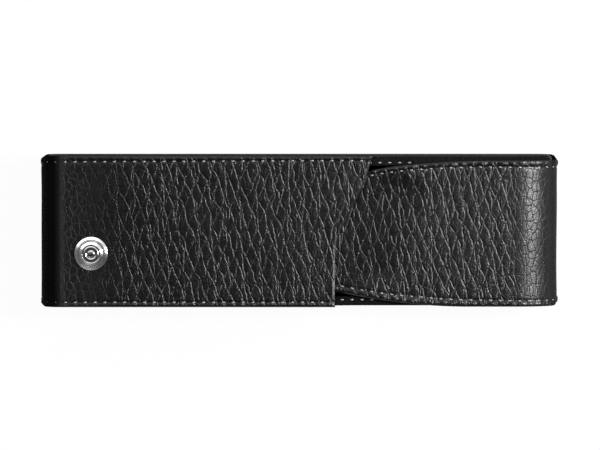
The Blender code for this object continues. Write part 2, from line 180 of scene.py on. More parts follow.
camera_data = bpy.data.cameras.new("photo_camera")
camera_data.sensor_width = sensor_width
camera_data.lens = sensor_width * camera_distance / (picture_width * pixel)
camera_data.clip_start = 0.05
camera_data.clip_end = 20
camera = bpy.data.objects.new("photo_camera", camera_data)
camera.location = aim + view_direction * camera_distance
camera.rotation_euler = (-camera_lean, 0, 0)
bpy.context.scene.collection.objects.link(camera)
bpy.context.scene.camera = camera
print("lens", round(camera_data.lens, 1), "mm; one pixel is", round(pixel * 1000, 4), "mm")

# %% [markdown]
# Light, floor and background
# Black leather is drawn by what it reflects. A soft lamp up to the right puts a light line on every
# slope that faces it and leaves the closed end at the left dark. A long lamp beyond the upper edge
# brightens the upper half of the stud, and a long low one before the near edge its lower half. The
# floor is white for the camera and for reflections, and still takes the case's shadow. The sky is
# white at the ground, so views from the side have a white background too. Above that it is grey all
# round, then bright beyond the upper edge and dark overhead and before the near edge.

# %% Make the lamps


def add_lamp(name, place, target, size, power):
    """A soft rectangular lamp at a place, turned to a target."""
    data = bpy.data.lights.new(name, "AREA")
    data.shape = "RECTANGLE"
    data.size, data.size_y = size
    data.energy = power
    lamp = bpy.data.objects.new(name, data)
    lamp.location = place
    lamp.rotation_euler = (Vector(target) - Vector(place)).to_track_quat("-Z", "Y").to_euler()
    bpy.context.scene.collection.objects.link(lamp)
    return lamp


key_lamp = add_lamp("key_lamp", (0.385, 0.075, 0.46), (0.02, 0, 0), (0.10, 0.21), 4.8)
upper_lamp = add_lamp("upper_lamp", (-0.30, 0.76, 0.62), (0, 0, 0), (1.70, 0.26), 2.1)
near_lamp = add_lamp("near_lamp", (-0.20, -0.90, 0.20), (0, 0, 0), (1.20, 0.28), 2.8)
print("lamps:", key_lamp.name, upper_lamp.name, near_lamp.name)

# %% Small helpers for node trees


def plug(tree, thing, values):
    """Fill inputs of a node, by name or number, with numbers, colours or another node's output."""
    for name, value in values.items():
        if isinstance(value, bpy.types.NodeSocket):
            tree.links.new(value, thing.inputs[name])
        else:
            thing.inputs[name].default_value = value


def node(tree, kind, values=None, **settings):
    """Add a node, set its plain settings and fill its inputs."""
    made = tree.nodes.new(kind)
    for name, value in settings.items():
        setattr(made, name, value)
    plug(tree, made, values or {})
    return made


def calculate(tree, operation, *values):
    """One step of arithmetic between numbers or outputs."""
    return node(tree, "ShaderNodeMath", dict(enumerate(values)), operation=operation).outputs[0]


def times(tree, first, *others):
    """The product of several numbers or outputs."""
    for other in others:
        first = calculate(tree, "MULTIPLY", first, other)
    return first


def plus(tree, first, *others):
    """The sum of several numbers or outputs."""
    for other in others:
        first = calculate(tree, "ADD", first, other)
    return first


def scale_and_add(tree, value, factor, added):
    return calculate(tree, "MULTIPLY_ADD", value, factor, added)


def rest_of(tree, share):
    return calculate(tree, "SUBTRACT", 1.0, share)


def ramp(tree, value, low, high, to_low=0.0, to_high=1.0):
    """A soft step from one value to another."""
    values = {"Value": value, "From Min": low, "From Max": high}
    values.update({"To Min": to_low, "To Max": to_high})
    made = node(tree, "ShaderNodeMapRange", values, interpolation_type="SMOOTHSTEP")
    return made.outputs["Result"]


def mix_colours(tree, share, first, second):
    values = {"Factor": share, 6: first, 7: second}
    return node(tree, "ShaderNodeMix", values, data_type="RGBA").outputs[2]


def axes_of(tree, place):
    return node(tree, "ShaderNodeSeparateXYZ", {0: place}).outputs[:]


def grey(level):
    return (level, level, level, 1.0)


def new_material(name):
    """An empty node material with its main shader."""
    material = bpy.data.materials.new(name)
    material.use_nodes = True
    tree = material.node_tree
    tree.nodes.clear()
    shader = node(tree, "ShaderNodeBsdfPrincipled")
    node(tree, "ShaderNodeOutputMaterial", {"Surface": shader.outputs[0]})
    return material, tree, shader


def add_bump(tree, shader, height, distance):
    """Small relief in a finish. The distance is in metres."""
    bump = node(tree, "ShaderNodeBump", {"Distance": distance, "Height": height})
    plug(tree, shader, {"Normal": bump.outputs[0]})


print("a middle grey:", grey(0.5))

# %% Floor
floor_reach = 3.0
floor_drop = 0.0003
glow_share = 0.96
floor_mesh = bmesh.new()
bmesh.ops.create_grid(floor_mesh, x_segments=1, y_segments=1, size=floor_reach)
floor_data = bpy.data.meshes.new("floor")
floor_mesh.to_mesh(floor_data)
floor_mesh.free()
floor = bpy.data.objects.new("floor", floor_data)
floor.location.z = min(0.0, cad_bounds[0][2]) - floor_drop
bpy.context.scene.collection.objects.link(floor)


def seen_directly(tree):
    """1 for rays from the camera, from a reflection or through glass, and 0 for the rest."""
    path = node(tree, "ShaderNodeLightPath").outputs
    direct = calculate(tree, "MAXIMUM", path["Is Camera Ray"], path["Is Glossy Ray"])
    return calculate(tree, "MAXIMUM", direct, path["Is Transmission Ray"])


def make_floor_paint():
    material, tree, shader = new_material("white_floor")
    plug(tree, shader, {"Base Color": grey(0.8), "Roughness": 0.9})
    glow = node(tree, "ShaderNodeEmission", {"Color": grey(1.0), "Strength": 1.0})
    share = times(tree, seen_directly(tree), glow_share)
    values = {0: share, 1: shader.outputs[0], 2: glow.outputs[0]}
    blend = node(tree, "ShaderNodeMixShader", values)
    plug(tree, tree.nodes["Material Output"], {"Surface": blend.outputs[0]})
    return material


floor.data.materials.append(make_floor_paint())
print("floor at", round(floor.location.z * 1000, 2), "mm")

# %% Sky
dark_side, near_overhead, beyond_edge, all_round = grey(0.015), grey(0.10), grey(1.40), grey(0.30)


def make_sky():
    """Grey zones by height and by side, as seen in reflections."""
    world = bpy.data.worlds.new("studio_sky")
    bpy.context.scene.world = world
    world.use_nodes = True
    tree = world.node_tree
    _, towards_edge, up = axes_of(tree, node(tree, "ShaderNodeTexCoord").outputs["Generated"])
    near_ground = ramp(tree, up, 0.05, 0.09, 1.0, 0.0)
    share = times(tree, near_ground, seen_directly(tree))
    overhead = mix_colours(tree, ramp(tree, towards_edge, -0.25, 0.05), dark_side, near_overhead)
    beyond = mix_colours(tree, ramp(tree, towards_edge, 0.0, 0.80), overhead, beyond_edge)
    zones = mix_colours(tree, ramp(tree, up, 0.30, 0.58, 1.0, 0.0), beyond, all_round)
    plug(tree, tree.nodes["Background"], {"Color": mix_colours(tree, share, zones, grey(1.0))})
    return world


sky = make_sky()
bpy.context.scene.view_settings.view_transform = "Standard"
print("world:", sky.name)

# %% [markdown]
# The grain of the leather
# Tumbled leather shrinks into pebbles with creases between them. On this case the pebbles are about
# 3 mm along the strip and twice as long across it, and pointed where creases meet. Voronoi cells
# would be too round and too even. Here two sets of wavy lines lean opposite ways and cross, which
# leaves long pointed pebbles, and a third upright set splits some of them. Where the leather is
# stretched, over the roll and beside the closed end, the pebbles flatten out and a fine crackle of
# small Voronoi cells shows instead. The texture reads a position along the strip that is stored in
# the mesh, so the grain runs unbroken over both panels and round the ends, and stays with the
# leather when the case opens.

# %% Steps of the grain
# All lengths in the grain are in millimetres, because the stored places are turned into them.


def vector_math(tree, operation, first, second):
    return node(tree, "ShaderNodeVectorMath", {0: first, 1: second}, operation=operation).outputs[0]


def noise_at(tree, place, scale, detail=2.0, roughness=0.5, output="Fac"):
    values = {"Vector": place, "Scale": scale, "Detail": detail, "Roughness": roughness}
    return node(tree, "ShaderNodeTexNoise", values).outputs[output]


def bend(tree, place, scale, amount):
    """Push a position about by noise, by up to half the amount each way."""
    push = noise_at(tree, place, scale, output="Color")
    push = vector_math(tree, "SUBTRACT", push, (0.5, 0.5, 0.5))
    push = vector_math(tree, "MULTIPLY", push, (amount, amount, 0))
    return vector_math(tree, "ADD", place, push)


def creases(tree, place, along, across, width):
    """0 in the creases and 1 on the cells. Cells are in millimetres, the width in shares of one."""
    values = {"Vector": vector_math(tree, "MULTIPLY", place, (1 / along, 1 / across, 0))}
    values.update({"Scale": 1.0, "Randomness": 1.0})
    style = dict(feature="DISTANCE_TO_EDGE", voronoi_dimensions="2D")
    cells = node(tree, "ShaderNodeTexVoronoi", values, **style)
    return ramp(tree, cells.outputs["Distance"], 0.0, width)


def strands(tree, place, spacing, lean, offset, flank, weakest):
    """Wavy creases that lean one way, in millimetres: the lines, and the domes between them."""
    moved = vector_math(tree, "ADD", place, offset)
    moved = bend(tree, bend(tree, bend(tree, moved, 0.06, 4.0), 0.16, 2.8), 0.45, 0.7)
    along, across, _ = axes_of(tree, moved)
    count = scale_and_add(tree, across, lean / spacing, times(tree, along, 1 / spacing))
    away = calculate(tree, "PINGPONG", count, 0.5)
    line = ramp(tree, away, 0.0, flank / spacing)
    fading = ramp(tree, noise_at(tree, moved, 0.22, 1.0), 0.36, 0.50, weakest, 1.0)
    depth = times(tree, fading, rest_of(tree, line))
    return rest_of(tree, depth), ramp(tree, away, 0.0, 0.45)


def strip_place(tree):
    """The stored place on the strip, in millimetres, then its distance along and its inset."""
    stored = node(tree, "ShaderNodeAttribute", attribute_name="strip")
    place = vector_math(tree, "MULTIPLY", stored.outputs["Vector"], (1000, 1000, 1000))
    along, _, inset = axes_of(tree, place)
    return place, along, inset


print("the grain reads the place that is stored in each mesh under the name strip")

# %% The leather material
crease_depth = 0.110
dome_height = 0.040
small_depth = 0.035
crackle_depth = 0.040
pore_depth = 0.095
stretched_pore_loss = 0.070
fold_shine = 0.4
# Painted shade: the near-black colour of the closed end, for an end that turns away from the lamps.
closed_end_painted_shade = 0.0012


def make_leather(
    name, size=1.0, depth=1.0, base=0.0024, roughness=0.30, ior=1.42, shine=0.5, smooth_at=None
):
    """Black grained leather. The grain fades out round a place along the strip and at its start,
    and round that place the colour is painted near black as shade.
    """
    material, tree, shader = new_material(name)
    place, along, inset = strip_place(tree)
    grain_place = vector_math(tree, "MULTIPLY", place, (1 / size, 1 / size, 0))
    leaning, leaning_dome = strands(tree, grain_place, 3.4, 0.38, (0, 0, 0), 0.44, 0.5)
    crossing, crossing_dome = strands(tree, grain_place, 3.5, -0.42, (53.0, 31.0, 0), 0.44, 0.5)
    upright, upright_dome = strands(tree, grain_place, 4.8, 0.05, (17.0, 71.0, 0), 0.40, 0.0)
    # The cells: pebbles between creases, and smaller cells in them.
    pebbles = calculate(tree, "MINIMUM", leaning, calculate(tree, "MINIMUM", crossing, upright))
    domes = times(tree, leaning_dome, times(tree, crossing_dome, upright_dome))
    fine_place = bend(tree, bend(tree, grain_place, 0.2, 2.0), 0.9, 0.5)
    small = creases(tree, fine_place, 2.3, 3.4, 0.12)
    crackle = creases(tree, fine_place, 1.9, 2.7, 0.09)
    pores = noise_at(tree, place, 1.9, 3.0, 0.65)
    swell = noise_at(tree, place, 0.30, 1.0)
    # Where the grain is strong and where the leather is stretched.
    strength = times(tree, ramp(tree, inset, 0.25, 0.9), ramp(tree, swell, 0.30, 0.60, 0.72, 1.0))
    stretched = 0.0
    if smooth_at is not None:
        away = calculate(tree, "ABSOLUTE", calculate(tree, "SUBTRACT", along, smooth_at))
        from_fold = calculate(tree, "ABSOLUTE", along)
        strength = times(tree, strength, ramp(tree, away, 22.0, 42.0, 0.30, 1.0))
        strength = times(tree, strength, ramp(tree, from_fold, 17.0, 23.0, 0.22, 1.0))
        near_fold = ramp(tree, from_fold, 17.0, 24.0, 1.0, 0.0)
        stretched = calculate(tree, "MAXIMUM", near_fold, ramp(tree, away, 16.0, 28.0, 1.0, 0.0))
    # Relief.
    height = scale_and_add(tree, domes, dome_height, times(tree, pebbles, crease_depth))
    height = times(tree, plus(tree, height, times(tree, small, small_depth)), strength)
    height = scale_and_add(tree, times(tree, crackle, stretched), crackle_depth, height)
    pore_height = scale_and_add(tree, stretched, -stretched_pore_loss, pore_depth)
    height = scale_and_add(tree, pores, pore_height, height)
    add_bump(tree, shader, height, 0.001 * depth)
    # Colour and gloss. The creases are painted darker than the cells, as painted shade in them.
    crease_share = times(tree, rest_of(tree, pebbles), strength)
    tone = noise_at(tree, place, 0.06, 2.0)
    plain = mix_colours(tree, ramp(tree, tone, 0.35, 0.65), grey(base * 0.85), grey(base * 1.15))
    colour = mix_colours(tree, crease_share, plain, grey(base * 0.7))
    rim_share = ramp(tree, inset, 0.0, 0.3, 1.0, 0.0)
    colour = mix_colours(tree, rim_share, colour, grey(base * 0.6))
    rough = plus(
        tree,
        times(tree, pores, 0.16),
        roughness - 0.08,
        times(tree, crease_share, 0.10),
        times(tree, rest_of(tree, crackle), stretched, 0.35),
        ramp(tree, inset, 0.0, 0.20, 0.15, 0.0),
    )
    if smooth_at is not None:
        shine = ramp(tree, from_fold, 5.0, 9.0, fold_shine * shine, shine)
        # Painted shade: round the closed end the colour is mixed to near black.
        closed_end_shade_share = ramp(tree, away, 11.4, 14.2, 1.0, 0.0)
        colour = mix_colours(tree, closed_end_shade_share, colour, grey(closed_end_painted_shade))
        rough = plus(
            tree,
            rough,
            ramp(tree, away, 13.2, 15.6, 0.38, 0.0),
            times(tree, near_fold, 0.02),
            ramp(tree, from_fold, 4.0, 10.0, 0.25, 0.0),
            ramp(tree, away, 14.0, 36.0, 0.07, 0.0),
        )
    finish = {"IOR": ior, "Specular IOR Level": shine, "Base Color": colour, "Roughness": rough}
    plug(tree, shader, finish)
    return material


print("creases", crease_depth, "mm deep at full strength")

# %% [markdown]
# Cloth, thread, board and metal
# The linings are a fine black twill: two waves at right angles give the ribs. The thread is waxed
# black polyester, whose twist is a slanting wave round each stitch. The board is grey pulp with
# flecks. The stud is polished and plated; the rivet and its washer are plain steel, brushed round.
# Each finish is a pattern worked out from a position, so none needs a picture.

# %% Cloth and thread
rib_spacing = 0.45


def make_cloth(name, base=0.012):
    """A twill: two waves at right angles, with a little fuzz."""
    material, tree, shader = new_material(name)
    place = strip_place(tree)[0]
    waves = []
    for turn in ((1, 1, 0), (1, -1, 0)):
        values = {0: bend(tree, place, 0.5, 0.12), 1: turn}
        across = node(tree, "ShaderNodeVectorMath", values, operation="DOT_PRODUCT")
        ribs = times(tree, across.outputs["Value"], math.tau / rib_spacing / math.sqrt(2))
        waves.append(calculate(tree, "SINE", ribs))
    weave = plus(tree, waves[0], times(tree, waves[1], 0.4))
    weave = scale_and_add(tree, weave, 0.3, 0.5)
    fuzz = noise_at(tree, place, 3.0, 3.0)
    add_bump(tree, shader, scale_and_add(tree, fuzz, 0.4, weave), 0.00004)
    # Painted shade and highlight: the colour is darker in the hollows between the ribs and lighter
    # on them.
    colour = mix_colours(tree, weave, grey(base * 0.7), grey(base * 1.5))
    finish = {"Base Color": colour, "Roughness": scale_and_add(tree, fuzz, 0.2, 0.75)}
    plug(tree, shader, {**finish, "Sheen Weight": 0.1, "Sheen Roughness": 0.4})
    return material


def make_thread():
    """The stored position of a stitch is the distance along it and the turn round it."""
    material, tree, shader = new_material("waxed_thread")
    place = strip_place(tree)[0]
    along, turn, _ = axes_of(tree, place)
    turns = plus(tree, times(tree, along, 1.9), times(tree, turn, 2.0))
    twist = calculate(tree, "SINE", times(tree, turns, math.tau))
    twist = scale_and_add(tree, twist, 0.5, 0.5)
    add_bump(tree, shader, twist, 0.00002)
    fibres = noise_at(tree, place, 6.0, 2.0)
    # Painted shade and highlight: the colour is darker in the twist's grooves and lighter on its
    # ridges.
    colour = mix_colours(tree, twist, grey(0.16), grey(0.40))
    rough = scale_and_add(tree, fibres, 0.2, 0.25)
    plug(tree, shader, {"IOR": 1.6, "Base Color": colour, "Roughness": rough})
    return material


print("a rib every", rib_spacing, "mm")

# %% Board and metal


def object_place(tree):
    """A position on a rigid piece, in millimetres."""
    place = node(tree, "ShaderNodeTexCoord")
    return vector_math(tree, "MULTIPLY", place.outputs["Object"], (1000, 1000, 1000))


dark_pulp = (0.17, 0.16, 0.145, 1)
pale_pulp = (0.26, 0.24, 0.21, 1)


def make_board():
    """Grey board pressed from pulp, with pale flecks."""
    material, tree, shader = new_material("grey_board")
    place = object_place(tree)
    pulp = noise_at(tree, place, 0.8, 5.0, 0.7)
    colour = mix_colours(tree, ramp(tree, pulp, 0.4, 0.7), dark_pulp, pale_pulp)
    plug(tree, shader, {"Base Color": colour, "Roughness": scale_and_add(tree, pulp, 0.15, 0.8)})
    add_bump(tree, shader, pulp, 0.00005)
    return material


def make_metal(name, colour, roughness, wear):
    """Metal with a cloudy polish: the roughness drifts, and fine scratches run round the axis."""
    material, tree, shader = new_material(name)
    place = object_place(tree)
    cloud = noise_at(tree, place, 0.7, 3.0)
    squashed = vector_math(tree, "MULTIPLY", place, (1, 1, 6))
    scuffs = noise_at(tree, squashed, 5.0, 4.0, 0.7)
    rough = scale_and_add(tree, scuffs, wear, scale_and_add(tree, cloud, wear, roughness))
    darker = tuple(0.86 * part for part in colour)
    cloudy = mix_colours(tree, cloud, (*darker, 1), (*colour, 1))
    plug(tree, shader, {"Metallic": 1.0, "Base Color": cloudy, "Roughness": rough})
    add_bump(tree, shader, scuffs, 0.000004)
    return material


print("materials so far:", [material.name for material in bpy.data.materials])

# %% [markdown]
# The path of the strip
# Seen from the long edge, the strip is a line with round corners. Writing that line once, as points
# with an outward direction and a distance travelled, lets leather, lining and thread all follow it
# at their own depth. The distance travelled starts at a seam low on the folding end and is also
# what places the grain.

# %% Lines and arcs
row_spacing = 0.00075
lower_fold_radius = 0.0080
closed_end_radius = 0.0060
upper_fold_reach = (0.0130, 0.0090)
seam_height = 0.0091


def straight(start, stop, normal):
    """Evenly spaced points from start to stop, as columns x, z and the outward direction."""
    length = math.dist(start, stop)
    shares = np.linspace(0, 1, max(2, round(length / row_spacing) + 1))[:, None]
    points = np.array(start) + shares * (np.array(stop) - np.array(start))
    return np.hstack([points, np.repeat([normal], len(points), axis=0)])


def arc(centre, reach, start, stop):
    """Points round a corner of an ellipse between two angles, in degrees up from +X."""
    length = math.radians(abs(stop - start)) * sum(reach) / 2
    angles = np.radians(np.linspace(start, stop, max(6, round(length / row_spacing) + 1)))
    round_x, round_z = np.cos(angles), np.sin(angles)
    points = np.stack([centre[0] + reach[0] * round_x, centre[1] + reach[1] * round_z], axis=1)
    normals = np.stack([round_x / reach[0], round_z / reach[1]], axis=1)
    normals /= np.linalg.norm(normals, axis=1)[:, None]
    return np.hstack([points, normals])


def join(*parts):
    """One path from several, without the doubled points where they meet, and with its distances."""
    path = np.vstack([parts[0]] + [part[1:] for part in parts[1:]])
    steps = np.linalg.norm(np.diff(path[:, :2], axis=0), axis=1)
    return np.hstack([path, np.concatenate(([0], np.cumsum(steps)))[:, None]])


closed_end_x = closed_end_radius - half_length
closed_end_top = case_depth - closed_end_radius
case_path = join(
    straight((half_length, seam_height), (half_length, lower_fold_radius), (1, 0)),
    arc((half_length - lower_fold_radius, lower_fold_radius), (lower_fold_radius,) * 2, 0, -90),
    straight((half_length - lower_fold_radius, 0), (closed_end_x, 0), (0, -1)),
    arc((closed_end_x, closed_end_radius), (closed_end_radius,) * 2, -90, -180),
    straight((-half_length, closed_end_radius), (-half_length, closed_end_top), (-1, 0)),
    arc((closed_end_x, closed_end_top), (closed_end_radius,) * 2, 180, 90),
)
upper_fold_centre = (half_length - upper_fold_reach[0], flap_level - upper_fold_reach[1])
flap_path = join(
    straight((half_length, seam_height), (half_length, upper_fold_centre[1]), (1, 0)),
    arc(upper_fold_centre, upper_fold_reach, 0, 90),
)
print("the case strip turns onto the front after", round(case_path[-1, 4] * 1000, 1), "mm")
print("the flap strip turns onto the top after", round(flap_path[-1, 4] * 1000, 1), "mm")

# %% [markdown]
# Columns across the strip
# A leather edge is cut, rounded with sandpaper and painted, so it isn't a sharp corner. Close to
# the edge the columns follow that rounding, then they gather round the line of stitches, and the
# middle is evenly filled. Lengths here are distances in from the edge, and depths down from the
# surface.

# %% Column plan
edge_rounding = (
    (0.00035, 1.0), (0.00008, 0.93), (0.0, 0.72),
    (0.0, 0.36), (0.00009, 0.14), (0.00024, 0.035),
)
rim_insets = (0.0005, 0.0008, 0.0011, 0.0014, 0.0017, 0.0020, 0.0023, 0.0027, 0.0033, 0.0041)
middle_columns = 42
plan_corner_radius = 0.0015


def column_places(low, high):
    """Places across the strip from its lower to its upper edge."""
    near = low + np.array(rim_insets)
    far = high - np.array(rim_insets[::-1])
    middle = np.linspace(near[-1], far[0], middle_columns + 2)[1:-1]
    return np.concatenate([near, middle, far])


print(len(column_places(-half_width, half_width)), "columns over the top of the strip")


def plan_trim(x):
    """How much narrower the strip is near the ends, which rounds the case's corners."""
    inside = np.maximum(0, plan_corner_radius - half_length + np.abs(x))
    return plan_corner_radius - np.sqrt(np.maximum(0, plan_corner_radius**2 - inside**2))


# %% [markdown]
# Rows along the strip
# Each row of the leather is one closed ring: out along the top, round one edge, back underneath
# and round the other edge. A row knows where it is for any place across, because near the mouth
# the rows slant with the mouth. The last rows sink a little, which rounds the mouth's painted
# edge. The real strip is one piece. Here it is lofted as two, which meet on the folding end,
# because the case opens there at two folds. So that no slit shows between them in an open pose,
# the end of the case strip is thinned like a skived edge and reaches a little way up inside the
# flap strip's end.

# %% A row of the strip
mouth_shear_start = -0.010
end_rounding = ((0.0005, 0.0), (0.00024, 0.035), (0.00009, 0.14), (0.0, 0.36))
mouth_rounding = end_rounding[0][0]
skived_reach = (0.0014, 0.0008, 0.0001)
skived_sink = 0.4
extra_mouth_rows = 8


# A row has a function that gives its place, direction and distance for any y, and its two edges.
Row = namedtuple("Row", "place edges sink", defaults=(0.0,))


def case_edges(x, z):
    reach = half_width - float(plan_trim(x))
    return -reach, reach


print("at its end the strip is", round(2 * case_edges(half_length, 0)[1], 4), "wide")

# %% Rows of the case strip
def skived_rows():
    """Rows of the case strip's thinned end, which lies hidden inside the flap strip's end."""
    rows = []
    for lift in skived_reach:

        def place(y, z=seam_height + lift, lift=lift):
            flat = np.zeros_like(y)
            return [flat + half_length, flat + z, flat + 1, flat, flat - lift]

        rows.append(Row(place, case_edges(half_length, seam_height), skived_sink))
    return rows


def path_rows(path, edges_at, sign):
    """Rows square across a path. The sign says which way the distance is counted."""
    rows = []
    for x, z, normal_x, normal_z, distance in path:

        def place(y, here=(x, z, normal_x, normal_z, sign * distance)):
            return [np.full_like(y, value) for value in here]

        rows.append(Row(place, edges_at(x, z)))
    return rows


def front_rows():
    """Rows of the front panel, which slant more and more towards the mouth."""
    start, total = case_path[-1, 0], case_path[-1, 4]

    def on_front(y, x):
        flat = np.zeros_like(y)
        return [flat + x, flat + case_depth, flat, flat + 1, flat + total + x - start]

    def slanted(y, share, back):
        reach = mouth_x(y) - mouth_rounding * (share < 1) - mouth_shear_start
        return on_front(y, mouth_shear_start + reach * share - back)

    rows = []
    for x in np.arange(start + row_spacing, mouth_shear_start, row_spacing):
        rows.append(Row(partial(on_front, x=x), case_edges(x, case_depth)))
    count = round((mouth_lower_x - mouth_shear_start) / row_spacing) + extra_mouth_rows
    shares = [(share, 0.0, 0.0) for share in np.linspace(0, 1, count)[:-1]]
    shares += [(1, back, sink) for back, sink in end_rounding]
    for share, back, sink in shares:
        place = partial(slanted, share=share, back=back)
        rows.append(Row(place, (-half_width, half_width), sink))
    return rows


case_rows = skived_rows() + path_rows(case_path, case_edges, 1) + front_rows()
print(len(case_rows), "rows in the case strip")

# %% [markdown]
# The flap
# Past the roll the strip narrows in an S on both sides, so that a thumb finds the mouth's corners.
# Towards the mouth it dips by the thickness of the front panel, passes under it and goes on as a
# tongue with round corners. The rows slant more and more until they lie along the mouth.

# %% Rows of the flap strip
glue_gap = 0.0003
dip_depth = stack_depth + glue_gap - (case_depth - flap_level)
dip_length_middle = 0.0240
dip_length_edge = 0.0130
dip_middle_reach, dip_edge_run = 0.011, 0.008
mouth_gap = 0.0003
tongue_length = 0.0250
tongue_corner = 0.0080
flap_shear_run = 0.008
tongue_row_spacing = 1.5 * row_spacing


def smooth(share):
    share = np.clip(share, 0, 1)
    return share * share * (3 - 2 * share)


def dip(x, y):
    """How far the flap sinks towards the mouth, so that its tongue passes under the panel."""
    edge_share = smooth((np.abs(y) - dip_middle_reach) / dip_edge_run)
    length = dip_length_middle + (dip_length_edge - dip_length_middle) * edge_share
    return dip_depth * (1 - smooth((x - mouth_x(y) - mouth_gap) / length))


def fold_edges(x, z):
    """Edges round the folding end, where the strip widens from the flap's edges to the back's."""
    risen_level = flap_level - upper_fold_reach[1] / 2
    rise = float(smooth((z - seam_height) / (risen_level - seam_height)))
    trim = float(plan_trim(x))
    high = half_width + (flap_high(half_length) - half_width) * rise
    low = half_width + (-flap_low(half_length) - half_width) * rise
    return -(low - trim), high - trim


def slanted_edges(x_at):
    """Where a slanted row meets the flap's two edges, found by stepping towards them."""
    low, high = -half_width, half_width
    for _ in range(8):
        low = float(flap_low(x_at(low)))
        high = float(flap_high(x_at(high)))
    return low, high


def flap_rows():
    """Rows from the upper fold over the flap, down its dip and along the tongue."""
    start, total = flap_path[-1, 0], flap_path[-1, 4]
    shear_start = start - flap_shear_run
    rows = []

    def add_row(x_at, sink=0.0):
        def place(y):
            x = x_at(y)
            flat = np.zeros_like(y)
            return [x, flap_level - dip(x, y), flat, flat + 1, -(total + start - x)]

        rows.append(Row(place, slanted_edges(x_at), sink))

    for x in np.arange(start - row_spacing, shear_start, -row_spacing):
        add_row(lambda y, x=x: np.zeros_like(y) + x)
    count = round((shear_start - mouth_lower_x) / row_spacing)
    for share in np.linspace(0, 1, count):
        add_row(lambda y, share=share: shear_start + (mouth_x(y) - shear_start) * share)
    middle = float(mouth_x(0.0))
    half_reach = float(flap_high(middle))
    for share in np.linspace(0, 1, round(tongue_length / tongue_row_spacing))[1:]:

        def x_at(y, share=share):
            across = np.minimum(0.999, np.abs(y) / half_reach)
            rounding = tongue_corner * (1 - (1 - across**3) ** (1 / 3))
            return mouth_x(y) + (middle - tongue_length + rounding - mouth_x(y)) * share

        add_row(x_at)
    return rows


fold_rows = path_rows(flap_path, fold_edges, -1) + flap_rows()
print(len(fold_rows), "rows in the flap strip")

# %% [markdown]
# Relief of the leather
# The needle pulls the leather down along the stitches, so there is a shallow groove with a small
# pucker at each hole, and the rim outside it stands up like a soft bead, most of all on the flap.
# Between the seams the leather isn't quite flat: it rises and falls by a tenth of a millimetre.
# Moving the points themselves shows this in the outline too, which a bump in the finish can't do.

# %% Lines of stitches
stitch_pitch = 0.00305

# How far each line lies in from its edge: distances along the strip and the insets there. The
# keys are the side, 1 for the upper one and -1 for the lower one, and whether it is the flap.
stitch_insets = {
    (1, True): (
        (-0.0640, -0.0546, -0.0456, -0.0263, -0.0135),
        (0.0017, 0.0017, 0.0019, 0.0021, 0.0022),
    ),
    (-1, True): (
        (-0.0700, -0.0550, -0.0489, -0.0263, -0.0180),
        (0.0021, 0.0022, 0.0024, 0.0020, 0.0018),
    ),
    (1, False): ((0.185, 0.270), (0.0019, 0.0015)),
    (-1, False): ((0.185, 0.270), (0.0015, 0.0015)),
}


def stitch_inset(distance, side, flap):
    return np.interp(distance, *stitch_insets[side, flap])


print("stitch pitch", round(stitch_pitch * 1000, 2), "mm")

# %% Relief
groove_depth = 0.00020
groove_width = 0.00042
hole_share = 0.28
rim_rise = 0.00009
rim_softness = 0.0006
# How wide the raised rim is, and how high it stands in shares of the plain rise.
case_rim = (0.0007, 1.0)
flap_rim = (0.0011, 1.7)
swell_height = 0.00014
swell_scale = 55
swell_from, swell_run = 0.002, 0.006


def relief(distance, y, low, high, flap):
    """How far the surface stands out from the plain strip."""
    lower = y - low
    upper = high - y
    inset = np.minimum(lower, upper)
    lines = [stitch_inset(distance, side, flap) for side in (-1, 1)]
    line = np.where(lower < upper, *lines)
    wave = np.cos(math.tau * distance / stitch_pitch)
    pucker = 1 - hole_share + hole_share * wave
    groove = -groove_depth * pucker * np.exp(-(((inset - line) / groove_width) ** 2))
    rim_width, rim_share = flap_rim if flap else case_rim
    bead = np.exp(-((np.maximum(0, inset - rim_width) / rim_softness) ** 2))
    rim = rim_rise * rim_share * bead * (1.0 - 1.1 * wave)
    away = np.clip((inset - swell_from) / swell_run, 0, 1)
    spots = [Vector((s * swell_scale, across * swell_scale, 3.1)) for s, across in zip(distance, y)]
    swell = np.array([noise.noise(spot) for spot in spots])
    return groove + rim + swell_height * away * (swell - 0.5)


print("the groove is", round(groove_depth * 1000, 2), "mm deep at each hole")

# %% [markdown]
# Lofting a strip
# One function turns rows into a closed sheet at any depth, so the leather and the linings share it.
# It also stores, at every point, the distance along the strip, the place across it and the inset
# from the edge. The materials read these three numbers. Over the back the lining doesn't lie on the
# leather: a stiffener board sits between them, so the lining is lifted by the board's thickness and
# falls off beside it.

# %% A piece from points and faces


def bridge(faces, near, far, closed=True):
    """Add the faces between two equally long rows of points."""
    for index in range(len(near) if closed else len(near) - 1):
        after = (index + 1) % len(near)
        faces.append((near[index], near[after], far[after], far[index]))


def sweep(whole, steps):
    """Cosine and sine at even steps from 0 to a whole angle."""
    angles = [whole * step / steps for step in range(steps + 1)]
    return [(math.cos(angle), math.sin(angle)) for angle in angles]


def new_piece(name, points, faces, material, places=None):
    """A smooth-shaded mesh object from points and faces, with its finish."""
    mesh = bpy.data.meshes.new(name)
    mesh.from_pydata(np.asarray(points).tolist(), [], faces)
    mesh.materials.append(material)
    thing = bpy.data.objects.new(name, mesh)
    bpy.context.scene.collection.objects.link(thing)
    if places is not None:
        attribute = mesh.attributes.new("strip", "FLOAT_VECTOR", "POINT")
        attribute.data.foreach_set("vector", np.asarray(places, np.float32).ravel())
    tidy = bmesh.new()
    tidy.from_mesh(mesh)
    bmesh.ops.recalc_face_normals(tidy, faces=tidy.faces)
    tidy.to_mesh(mesh)
    tidy.free()
    mesh.shade_smooth()
    mesh.set_sharp_from_angle(angle=math.radians(50))
    return thing


def tell(*pieces):
    for piece in pieces:
        print(piece.name, len(piece.data.polygons), "faces")


print("a quarter turn in", len(sweep(math.pi / 2, 6)), "points")

